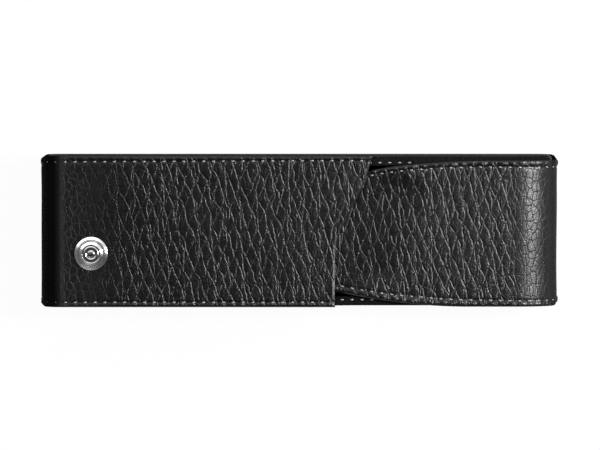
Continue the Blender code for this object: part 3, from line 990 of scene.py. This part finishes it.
# %% Lift of the lining over the board
board_pocket = 0.0011
board_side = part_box("back_stiffener")[1].y + glue_gap
board_fall = 0.0017


def board_lift(y, normal_z):
    """How far the stiffener board lifts the back's lining, which falls off beside the board."""
    turned_down = np.degrees(np.arcsin(np.clip(-normal_z, 0, 1)))
    across = np.interp(np.abs(y), (board_side, board_side + board_fall), (1, 0))
    return board_pocket * smooth((turned_down - 45) / 45) * across


print("the board lifts the lining by", board_pocket * 1000, "mm")

# %% Points of a strip
lining_trim = 0.00015
plain_inset = 0.002
paint_depth = 0.0003


def ring_plan(low, high, sink):
    """Places across one ring, how far each is sunk, and where the underside starts."""
    top = column_places(low, high)
    rounding = np.array(edge_rounding)
    y = np.concatenate([low + rounding[:, 0], top, high - rounding[::-1, 0], top[::-1]])
    surface, underside = np.full(len(top), sink), np.ones(len(top))
    sunk = np.concatenate([rounding[:, 1], surface, rounding[::-1, 1], underside])
    under = len(rounding) * 2 + len(top)
    if sink:
        sunk = np.maximum(sunk, sink)
        sunk[under:] = 1 - sink * 0.4
    return y, sunk, under


def strip_points(rows, depth, thickness, flap, lining):
    """Points of each ring with their stored places. Only leather has relief."""
    trim = lining_trim if lining else 0.0
    points, places = [], []
    for row in rows:
        low, high = row.edges[0] + trim, row.edges[1] - trim
        y, sunk, under = ring_plan(low, high, row.sink)
        x, z, normal_x, normal_z, distance = row.place(np.clip(y, low, high))
        down = depth + sunk * thickness
        if lining and not flap:
            down += board_lift(y, normal_z)
        if not lining:
            shown = relief(distance[:under], y[:under], low, high, flap)
            down[:under] -= shown * (1 - sunk[:under])
        points.append(np.stack([x - normal_x * down, y, z - normal_z * down], axis=1))
        inset = np.minimum(y - low, high - y)
        if not flap:
            to_mouth = np.where(normal_z > 0.99, mouth_x(y) - x, 1.0)
            inset = np.minimum(inset, to_mouth)
        inset[under:] = np.maximum(inset[under:], plain_inset)
        places.append(np.stack([distance, y, inset - sunk * paint_depth], axis=1))
    return points, places


print(len(ring_plan(-half_width, half_width, 0.0)[0]), "points in each ring")

# %% Faces of a strip
def loft_strip(name, rows, depth, thickness, material, flap, lining=False):
    """A closed sheet along some rows, from a depth below the outer surface."""
    points, places = strip_points(rows, depth, thickness, flap, lining)
    size = len(points[0])
    ends = (0, (len(rows) - 1) * size)
    faces = []
    for start in range(*ends, size):
        bridge(faces, range(start, start + size), range(start + size, start + 2 * size))
    rim = len(edge_rounding)
    columns = size // 2 - rim
    for start in ends:
        outer = [start + rim + index for index in range(columns)]
        inner = [start + size - 1 - index for index in range(columns)]
        bridge(faces, outer, inner, closed=False)
        lower_rim = [start + index for index in range(rim)]
        upper_rim = [index + rim + columns for index in lower_rim]
        faces.append(lower_rim + [outer[0], inner[0]])
        faces.append([outer[-1]] + upper_rim + [inner[-1]])
    return new_piece(name, np.vstack(points), faces, material, np.vstack(places))


print("points on each rounded edge:", len(edge_rounding))

# %% [markdown]
# Finishes of the strip
# The strip has one hide with three finishes. Most of it is glossy black grain. Round the closed end
# the leather was wetted and pulled tight, so it is duller there, and there its colour is painted
# near black as painted shade, for an end that turns away from the lamps. The cut edges are sealed
# with matt paint. The gussets are cut from a thinner hide with a smaller grain, and the divider
# from a smooth one.

# %% Finishes for the strip
on_closed_end = case_path[:, 0] < -half_length + 0.000001
closed_end_middle = float(np.mean(case_path[on_closed_end, 4]))
tight_at = closed_end_middle * 1000
strip_leather = make_leather("grained_leather", smooth_at=tight_at)
# The closed end's leather is duller, and its colour is painted near black as painted shade.
closed_end_shaded_leather = make_leather("closed_end_shaded_leather", base=0.011, ior=1.12, smooth_at=tight_at)
edge_paint = make_leather("painted_edge", base=0.0030, roughness=0.6, ior=1.06, shine=0.0)
gusset_leather = make_leather(
    "gusset_leather", size=0.6, depth=1.0, base=0.0080, roughness=0.55, ior=1.12, shine=0.08
)
divider_leather = make_leather("divider_leather", size=0.5, depth=0.5, base=0.008, roughness=0.5)
lining_cloth = make_cloth("lining_cloth")
thread = make_thread()
chrome = make_metal("polished_chrome", (0.80, 0.80, 0.81), 0.12, 0.05)
steel = make_metal("brushed_steel", (0.55, 0.55, 0.54), 0.28, 0.12)
grey_board = make_board()
print("materials:", [material.name for material in bpy.data.materials])

# %% Leather of the strip
case_strip = loft_strip("case_leather", case_rows, 0.0, leather_thickness, strip_leather, False)
flap_strip = loft_strip("flap_leather", fold_rows, 0.0, leather_thickness, strip_leather, True)
closed_end_reach = 0.0140
paint_inset = 0.0001
case_paint_from = 0.0215
flap_paint_from = 0.0100


def paint_faces(piece, material, chosen):
    """Give another finish to the faces whose corners are all chosen by their stored place."""
    stored = np.zeros(len(piece.data.vertices) * 3)
    piece.data.attributes["strip"].data.foreach_get("vector", stored)
    corners = chosen(*stored.reshape(-1, 3).T)
    piece.data.materials.append(material)
    for face in piece.data.polygons:
        if all(corners[corner] for corner in face.vertices):
            face.material_index = len(piece.data.materials) - 1


def at_closed_end(along, y, inset):
    return np.abs(along - closed_end_middle) < closed_end_reach


def on_case_edge(along, y, inset):
    return (inset < paint_inset) & (np.abs(y) > case_paint_from)


def on_flap_edge(along, y, inset):
    return (inset < paint_inset) & (np.abs(y) > flap_paint_from)


paint_faces(case_strip, closed_end_shaded_leather, at_closed_end)
paint_faces(case_strip, edge_paint, on_case_edge)
paint_faces(flap_strip, edge_paint, on_flap_edge)
tell(case_strip, flap_strip)

# %% Linings of the strip
cloth = (lining_depth, stack_depth - lining_depth, lining_cloth)
case_lining = loft_strip("case_lining", case_rows, *cloth, False, lining=True)
flap_lining = loft_strip("flap_lining_cloth", fold_rows, *cloth, True, lining=True)
tell(case_lining, flap_lining)

# %% [markdown]
# Stitches
# A saddle stitch is a row of short slanted bridges of thread, each rising out of one hole and going
# down into the next. Modelled one by one, they catch the light as separate dots, which is what the
# photograph shows. Each bridge is a bent tube that is thickest in the middle. At the two ends,
# where the leather was pulled tight round a curve, the thread is drawn deeper into it.

# %% The line that stitches follow
def along_path(path, distance):
    """The place and the outward direction at a distance along a path: x, z and the direction."""
    return [float(np.interp(distance, path[:, 4], path[:, column])) for column in range(4)]


def stitch_place(distance, side, flap):
    """A place on a line of stitches, at a distance along its strip: x, z, the direction, y."""
    path, edges_at = (flap_path, fold_edges) if flap else (case_path, case_edges)
    start, total = path[-1, 0], path[-1, 4]
    if distance <= total:
        x, z, normal_x, normal_z = along_path(path, distance)
        low, high = edges_at(x, z)
    elif flap:
        x, z, normal_x, normal_z = start - distance + total, flap_level, 0.0, 1.0
        low, high = float(flap_low(x)), float(flap_high(x))
    else:
        x, z, normal_x, normal_z = start + distance - total, case_depth, 0.0, 1.0
        low, high = case_edges(x, z)
    inset = float(stitch_inset(-distance if flap else distance, side, flap))
    y = high - inset if side > 0 else low + inset
    if flap and distance > total:
        z -= float(dip(x, y))
    return x, z, normal_x, normal_z, y


near_mouth = stitch_place(0.060, 1, True)
print("a stitch near the mouth lies at", [round(value, 4) for value in near_mouth])

# %% One stitch
stitch_length = 0.0014
thread_radius = 0.00022
stitch_rise = 0.00018
arch_rise, arch_sink = 2.6, 1.8
thin_end = 0.35
stitch_steps = 9
stitch_sides = 8


def add_stitch(points, faces, places, start, stop, normal):
    """One bridge of thread between two places on the leather."""
    along = stop - start
    across = along.normalized().cross(normal)
    first = len(points)
    for step in range(stitch_steps):
        share = step / (stitch_steps - 1)
        arch = math.sin(math.pi * share)
        rise = stitch_rise * arch_rise * arch - stitch_rise * arch_sink
        centre = start + along * share + normal * rise
        radius = thread_radius * (thin_end + (1 - thin_end) * arch**0.5)
        for side, (out, up) in enumerate(sweep(math.tau, stitch_sides)[:-1]):
            points.append(centre + across * (radius * out) + normal * (radius * up))
            places.append((along.length * share, side / stitch_sides * 0.001, 0.001))
    rings = range(first, first + stitch_steps * stitch_sides)
    rings = [rings[start : start + stitch_sides] for start in range(0, len(rings), stitch_sides)]
    for low, high in zip(rings, rings[1:]):
        bridge(faces, low, high)
    faces += [list(rings[0]), list(rings[-1])]


faces_in_a_stitch = (stitch_steps - 1) * stitch_sides + 2
print("faces in a stitch:", faces_in_a_stitch)

# %% Sew the strip
slant = 0.00012
tight_from = 0.0722
tight_sink = 0.00022
fold_sink = 0.00024
fold_sink_reach = 0.0125
seat_in_groove = 0.8 * groove_depth


def sew(name, flap, side_runs, depth=None):
    """Stitches along one strip: runs are (side, first distance, last distance).

    A depth puts the thread on the inside, that far below the surface."""
    inside = depth is not None
    points, faces, places = [], [], []
    for side, first, last in side_runs:
        for count in range(int((last - first) / stitch_pitch)):
            near = first + count * stitch_pitch + (stitch_pitch - stitch_length) / 2
            ends = []
            for distance, offset in ((near, -slant), (near + stitch_length, slant)):
                x, z, normal_x, normal_z, y = stitch_place(distance, side, flap)
                normal = Vector((normal_x, 0, normal_z))
                sunk = depth if inside else seat_in_groove
                if not flap and x < -tight_from:
                    sunk += tight_sink
                if not inside:
                    sunk += fold_sink * max(0.0, 1 - distance / fold_sink_reach)
                place = Vector((x, y + offset, z)) - normal * sunk
                ends.append((place, -normal if inside else normal))
            normal = (ends[0][1] + ends[1][1]).normalized()
            add_stitch(points, faces, places, ends[0][0], ends[1][0], normal)
    return new_piece(name, points, faces, thread, places)


seam_start = 0.0006
mouth_margin = 0.0012
tongue_margin = 0.007
front_total = case_path[-1, 4] - case_path[-1, 0] - mouth_margin
case_runs = [(1, seam_start, front_total + mouth_upper_x)]
case_runs += [(-1, seam_start, front_total + mouth_lower_x)]
flap_total = flap_path[-1, 4] + flap_path[-1, 0]
tongue_end = flap_total - float(mouth_x(0.0)) + tongue_length - tongue_margin
flap_runs = [(1, seam_start, tongue_end), (-1, seam_start, tongue_end)]
case_stitches = sew("case_stitches", False, case_runs)
flap_stitches = sew("flap_stitches", True, flap_runs)
flap_inner_stitches = sew("flap_inner_stitches", True, flap_runs, stack_depth)
for piece in (case_stitches, flap_stitches, flap_inner_stitches):
    print(piece.name, len(piece.data.polygons) // faces_in_a_stitch, "stitches")

# %% [markdown]
# The two folds
# On the real case the folding end is the same leather as the rest, and it bends where it meets the
# back and where it meets the flap. Here the strip's leather, lining and stitches stay where they
# were built, and the solids of the shell, end wall and flap that they stand for are hidden.

# %% Fix the strip in place and hide the solids it replaces
for piece in (case_strip, case_lining, case_stitches):
    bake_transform(piece)
for piece in (flap_strip, flap_lining, flap_stitches, flap_inner_stitches):
    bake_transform(piece)
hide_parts("outer_shell")
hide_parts("shell_lining")
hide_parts("end_wall", "flap", "flap_tongue")
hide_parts("end_wall_lining", "flap_lining", "flap_tongue_lining")

# %% [markdown]
# Side gussets
# The long sides are closed by leather trays. Each is a flat web whose edge is turned in all round,
# and the strip is sewn to that turned edge. A section with a rounded bend is swept along the case's
# side outline. Beyond the mouth the turned edge shows beside the flap. There its free edge curls up
# a little, and the row of stitches that holds the front panel runs on over it for a few stitches.
# Round the folding end the turned edge narrows to a lip, because the strip isn't sewn to it there.

# %% Side outline of a gusset
gusset_depth = stack_depth + glue_gap
web_inset = 0.0003
web_face = half_width - web_inset
flange_ramp_start = 0.0015
flange_ramp_length = 0.0050
outline_spacing = 0.0015
lip_height = 0.0095


def gusset_outline(side):
    """The closed side outline of a gusset, with the share that lies on the folding end."""
    ramp_start = float(mouth_x(side * half_width)) + flange_ramp_start
    lower = case_path[case_path[:, 0] <= half_length]
    stations = []
    for x, z, normal_x, normal_z, distance in lower:
        share = (x - half_length + lower_fold_radius) / lower_fold_radius
        end_share = float(np.clip(share, 0, 1)) if x > 0 and z < lip_height else 0.0
        stations.append((x, z, normal_x, normal_z, end_share))
    for x in np.arange(lower[-1, 0] + outline_spacing, ramp_start, outline_spacing):
        stations.append((x, case_depth, 0.0, 1.0, 0.0))
    for share in np.linspace(0, 1, 10):
        drop = (case_depth - flap_level) * float(smooth(share))
        stations.append((ramp_start + flange_ramp_length * share, case_depth - drop, 0.0, 1.0, 0.0))
    ramp_end = ramp_start + flange_ramp_length
    for x in np.arange(ramp_end + outline_spacing, upper_fold_centre[0], outline_spacing):
        stations.append((x, flap_level, 0.0, 1.0, 0.0))
    for x, z, normal_x, normal_z, distance in flap_path[::-1][:-1]:
        share = (x - upper_fold_centre[0]) / upper_fold_reach[0]
        stations.append((x, z, normal_x, normal_z, float(np.clip(share, 0, 1))))
    return stations


print(len(gusset_outline(1)), "stations round the upper gusset")

# %% Section of a gusset
gusset_thickness = 0.0010
gusset_bend = 0.0015
gusset_flange = 0.0029
gusset_lip = 0.0018
flange_lift = 0.00034
curl_from, curl_middle = 0.0010, 0.0006
bend_steps = 6


def gusset_section(end_share):
    """Insets from the web's face and depths under the outline, once round the leather."""
    flange = gusset_flange + (gusset_lip - gusset_flange) * end_share
    bend_turns = sweep(math.pi / 2, bend_steps)
    section = [(gusset_bend * (1 - out), gusset_bend * (1 - up)) for out, up in bend_turns]
    rounding = gusset_thickness * 0.3
    section += [(flange - curl_from, 0.0), (flange - curl_middle, -flange_lift * 0.7)]
    section += [(flange - rounding, -flange_lift), (flange, rounding - flange_lift)]
    section.append((flange, gusset_thickness - rounding))
    section.append((flange - rounding, gusset_thickness))
    inner = gusset_bend - gusset_thickness
    for out, up in reversed(bend_turns):
        section.append((gusset_bend - inner * out, gusset_bend - inner * up))
    return section


print(len(gusset_section(0.0)), "points round a gusset's section")

# %% Build the gussets
web_rings = 6
web_sag = 0.00016
web_middle_margin = 0.012
well_inside = 0.003


def build_gusset(name, side):
    """A tray: the turned edge all round, and a web of narrowing rings on each side of it."""
    stations = gusset_outline(side)
    count = len(stations)
    centre = np.mean([(x, z) for x, z, *_ in stations], axis=0)
    points, places = [], []
    distance = 0.0
    last = stations[-1]
    for station in stations:
        x, z, normal_x, normal_z, end_share = station
        distance += math.dist((x, z), last[:2])
        last = station
        for inset, depth in gusset_section(end_share):
            down = gusset_depth + depth
            points.append((x - normal_x * down, side * (web_face - inset), z - normal_z * down))
            places.append((distance, inset * 2 + depth, well_inside))
    size = len(gusset_section(0.0))
    faces = []
    for index in range(count):
        near, far = index * size, (index + 1) % count * size
        bridge(faces, range(near, near + size), range(far, far + size), closed=False)
    for first, face_y in ((0, web_face), (size - 1, web_face - gusset_thickness)):
        ring = [index * size + first for index in range(count)]
        for turn in range(1, web_rings + 1):
            share = turn / web_rings
            fresh = []
            for index in range(count):
                start = np.array(points[index * size + first])[[0, 2]]
                reach = half_length - web_middle_margin
                inner_x = np.clip(start[0], -reach, reach)
                goal = np.array((inner_x, centre[1]))
                spot = start + (goal - start) * share
                fresh.append(len(points))
                sag = web_sag * math.sin(math.pi / 2 * share)
                points.append((spot[0], side * (face_y - sag), spot[1]))
                places.append((spot[0], spot[1], well_inside))
            bridge(faces, ring, fresh)
            ring = fresh
        faces.append(ring)
    return new_piece(name, points, faces, gusset_leather, places)


for name, side in (("upper_gusset", 1), ("lower_gusset", -1)):
    gusset = build_gusset(name + "_leather", side)
    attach(gusset, "case")
    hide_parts(name)
    tell(gusset)

# %% Stitch the turned edges beyond the mouth
flange_stitch_inset = 0.0022
flange_stitch_reach = 0.0125


def sew_flange(name, side):
    """Stitches on the turned edge, from under the mouth to where the flap covers it."""
    tops = [(x, z - gusset_depth) for x, z, *_ in gusset_outline(side) if z > case_depth / 2]
    tops.sort()
    heights = np.array(tops).T
    points, faces, places = [], [], []
    first = float(mouth_x(side * half_width)) - stitch_pitch / 2
    for x in np.arange(first, first + flange_stitch_reach, stitch_pitch):
        ends = []
        for end in (x, x + stitch_length):
            z = float(np.interp(end, *heights))
            ends.append(Vector((end, side * (half_width - flange_stitch_inset), z)))
        add_stitch(points, faces, places, ends[0], ends[1], Vector((0, 0, 1)))
    return new_piece(name, points, faces, thread, places)


for name, side in (("upper_flange_stitches", 1), ("lower_flange_stitches", -1)):
    flange_stitches = sew_flange(name, side)
    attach(flange_stitches, "case")
    print(flange_stitches.name, len(flange_stitches.data.polygons) // faces_in_a_stitch, "stitches")

# %% [markdown]
# The stud
# A turned stud is a solid of revolution: a low sloping flange and a raised disc on it. The disc has
# a bevelled rim and a sunk field with one plain ring round a low boss. Fine steps round the axis
# and small rounded edges matter more than shape, because polished metal shows every facet.

# %% Turning a profile
stud_segments = 128
crease_angle = math.radians(28)


def turned(name, profile, material):
    """A solid of revolution about the stud's axis from a closed profile of radius and height."""
    points, faces, firsts = [], [], []
    for radius, height in profile:
        firsts.append(len(points))
        around = stud_segments if radius > 0 else 1
        for index in range(around):
            turn = math.tau * index / stud_segments
            x = stud_centre.x + radius * math.cos(turn)
            points.append((x, stud_centre.y + radius * math.sin(turn), height))
    for near in range(len(profile)):
        far = (near + 1) % len(profile)
        if profile[near][0] == 0 and profile[far][0] == 0:
            continue
        for index in range(stud_segments):
            after = (index + 1) % stud_segments
            if profile[near][0] == 0:
                faces.append((firsts[near], firsts[far] + index, firsts[far] + after))
            elif profile[far][0] == 0:
                faces.append((firsts[near] + index, firsts[far], firsts[near] + after))
            else:
                near_edge = (firsts[near] + index, firsts[near] + after)
                faces.append(near_edge + (firsts[far] + after, firsts[far] + index))
    piece = new_piece(name, points, faces, material)
    piece.data.set_sharp_from_angle(angle=crease_angle)
    return piece


def raised_ring(radius, level, width, height, steps=8):
    """A raised ring with a round back, seen from its outer foot inwards."""
    return [(radius + width / 2 * out, level + height * up) for out, up in sweep(math.pi, steps)]


def dome(radius, level, height, steps=10):
    """A low round boss in the middle, seen from its foot inwards."""
    points = [(radius * out, level + height * up) for out, up in sweep(math.pi / 2, steps)]
    return points[:-1] + [(0, level + height)]


print("steps round the stud:", stud_segments)

# %% Build the stud
stud_base_radius = 0.00515
stud_base_height = 0.0009
stud_face_radius = 0.00415
stud_face_height = 0.0010
seat_gap = 0.0001
soft_edge = 0.00004
bore_radius = 0.0015
groove_drop = 0.00012
flange_drop = 0.000455
bevel_drop = 0.000485
field_drop = 0.00022
base_low = case_depth + seat_gap
base_top = base_low + stud_base_height
flange_top = base_top - groove_drop
face_low = base_top + seat_gap
face_top = face_low + stud_face_height
field = face_top - field_drop
relief_foot = field - 0.00002
base_profile = [
    (bore_radius, base_low),
    (bore_radius, flange_top - soft_edge),
    (0.00438, flange_top),
    (stud_base_radius, flange_top - flange_drop),
    (0.00502, base_low),
]
face_profile = [
    (0, face_low),
    (0.00405, face_low),
    (stud_face_radius, face_low + 0.00015),
    (stud_face_radius, face_top - 0.00060),
    (0.00412, face_top - 0.00052),
    (0.00404, face_top - 0.00047),
    (0.00372, face_top - bevel_drop),
    (0.00290, face_top),
    (0.00284, face_top - soft_edge),
    (0.00276, field),
]
face_profile += raised_ring(radius=0.0019, level=relief_foot, width=0.0009, height=0.00016)
face_profile += dome(radius=0.0011, level=relief_foot, height=0.00026)
stud_base = turned("stud_flange", base_profile, chrome)
stud_face = turned("stud_disc", face_profile, chrome)
for piece, node_name in ((stud_base, "stud_base"), (stud_face, "stud_face")):
    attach(piece, "case")
    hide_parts(node_name)
print("the stud's face lies at", round(face_top, 4))

# %% [markdown]
# Linings of the gussets
# Each tray has a thin sheet of cloth glued inside it. It is flat, so one outline and two faces make
# it, and the weave follows the web.

# %% Line the gussets
cloth_sheet = 0.0006


def build_gusset_lining(name, side):
    """A thin lining inside the gusset's tray, with the weave following the web."""
    depth = gusset_depth + gusset_thickness + glue_gap
    face = web_face - gusset_thickness - glue_gap
    outline = [(x - nx * depth, z - nz * depth) for x, z, nx, nz, _ in gusset_outline(side)]
    points, places = [], []
    for y in (face, face - cloth_sheet):
        for x, z in outline:
            points.append((x, side * y, z))
            places.append((x, z, well_inside))
    count = len(outline)
    outer, inner = list(range(count)), list(range(count, 2 * count))
    faces = [outer, inner]
    bridge(faces, outer, inner)
    return new_piece(name, points, faces, lining_cloth, places)


for name, side in (("upper_gusset_lining", 1), ("lower_gusset_lining", -1)):
    lining = build_gusset_lining(name + "_cloth", side)
    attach(lining, "case")
    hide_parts(name)
    tell(lining)

# %% [markdown]
# The divider
# A divider stands between the two pens. It is a strip of leather folded along its top and spread
# into two glued feet, so its section is a T upside down with soft corners. Its top is rounded down
# at both ends, and the web sways a little, as hand-folded leather does.

# %% Section of the divider
divider_low, divider_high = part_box("divider")
web, foot, fillet = 0.0005, 0.0008, 0.0014
foot_reach = 0.0050
foot_toe = 0.0003
web_swell = 0.00008


def divider_section(top):
    """Half of the upside-down T, from the foot's end to the top of the fold."""
    low = divider_low.z
    section = [(foot_reach, low), (foot_reach, low + foot_toe)]
    section += [(0.0046, low + foot * 0.8), (0.0040, low + foot)]
    for out, up in sweep(math.pi / 2, 6):
        section.append((web + fillet * (1 - up), low + foot + fillet * (1 - out)))
    for share in np.linspace(0.2, 1, 7):
        rise = low + foot + fillet + (top - web - low - foot - fillet) * share
        section.append((web + web_swell * math.sin(math.pi * share), rise))
    for out, up in sweep(math.pi / 2, 4)[1:]:
        section.append((web * out, top - web * (1 - up)))
    return section


print(len(divider_section(divider_high.z)), "points on half of the section")

# %% Build the divider
left_round, right_round, end_height = 0.0030, 0.0120, 0.0030
sway_reach, sways_per_metre = 0.00025, 60
sway_from, sway_run = 0.002, 0.008
low_end = 0.004
divider_sections = 130


def build_divider():
    """The divider from end to end, one section after the other."""
    points, faces, places, sections = [], [], [], []
    for x in np.linspace(divider_low.x, divider_high.x, divider_sections):
        from_left = min(1.0, (x - divider_low.x) / left_round)
        from_right = min(1.0, (divider_high.x - x) / right_round)
        drop = left_round * (1 - math.sqrt(1 - (1 - from_left) ** 2))
        fall = divider_high.z - divider_low.z - end_height
        drop += fall * (1 - math.sqrt(1 - (1 - from_right) ** 2))
        right = divider_section(divider_high.z - drop)
        section = right + [(-y, z) for y, z in right[-2::-1]]
        sections.append(len(points))
        sway = sway_reach * math.sin(x * sways_per_metre) * (1 if drop < low_end else 0.3)
        for y, z in section:
            lean = sway * float(smooth((z - divider_low.z - sway_from) / sway_run))
            from_top = abs(divider_high.z - drop - z) + 0.0002
            points.append((x, y + lean, z))
            places.append((x, z if y >= 0 else -z, min(well_inside, from_top)))
    sections = [list(range(start, start + len(section))) for start in sections]
    for near, far in zip(sections, sections[1:]):
        bridge(faces, near, far)
    faces += [sections[0], sections[-1]]
    return new_piece("divider_leather_strip", points, faces, divider_leather, places)


divider = build_divider()
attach(divider, "case")
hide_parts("divider")
print("the divider stands", round(divider_high.z - divider_low.z, 4), "high")

# %% [markdown]
# The solids that stay
# The board, the rivet and the washer are hidden inside, and their plain shapes are already right.
# They only need a finish of their own: grey board and bare steel.

# %% Finishes for the solids that stay
finishes = {"back_stiffener": grey_board, "stud_rivet": steel, "stud_washer": steel}
for node_name, finish in finishes.items():
    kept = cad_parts[node_name]
    kept.data.materials.clear()
    kept.data.materials.append(finish)
print("kept solids have their own finish")
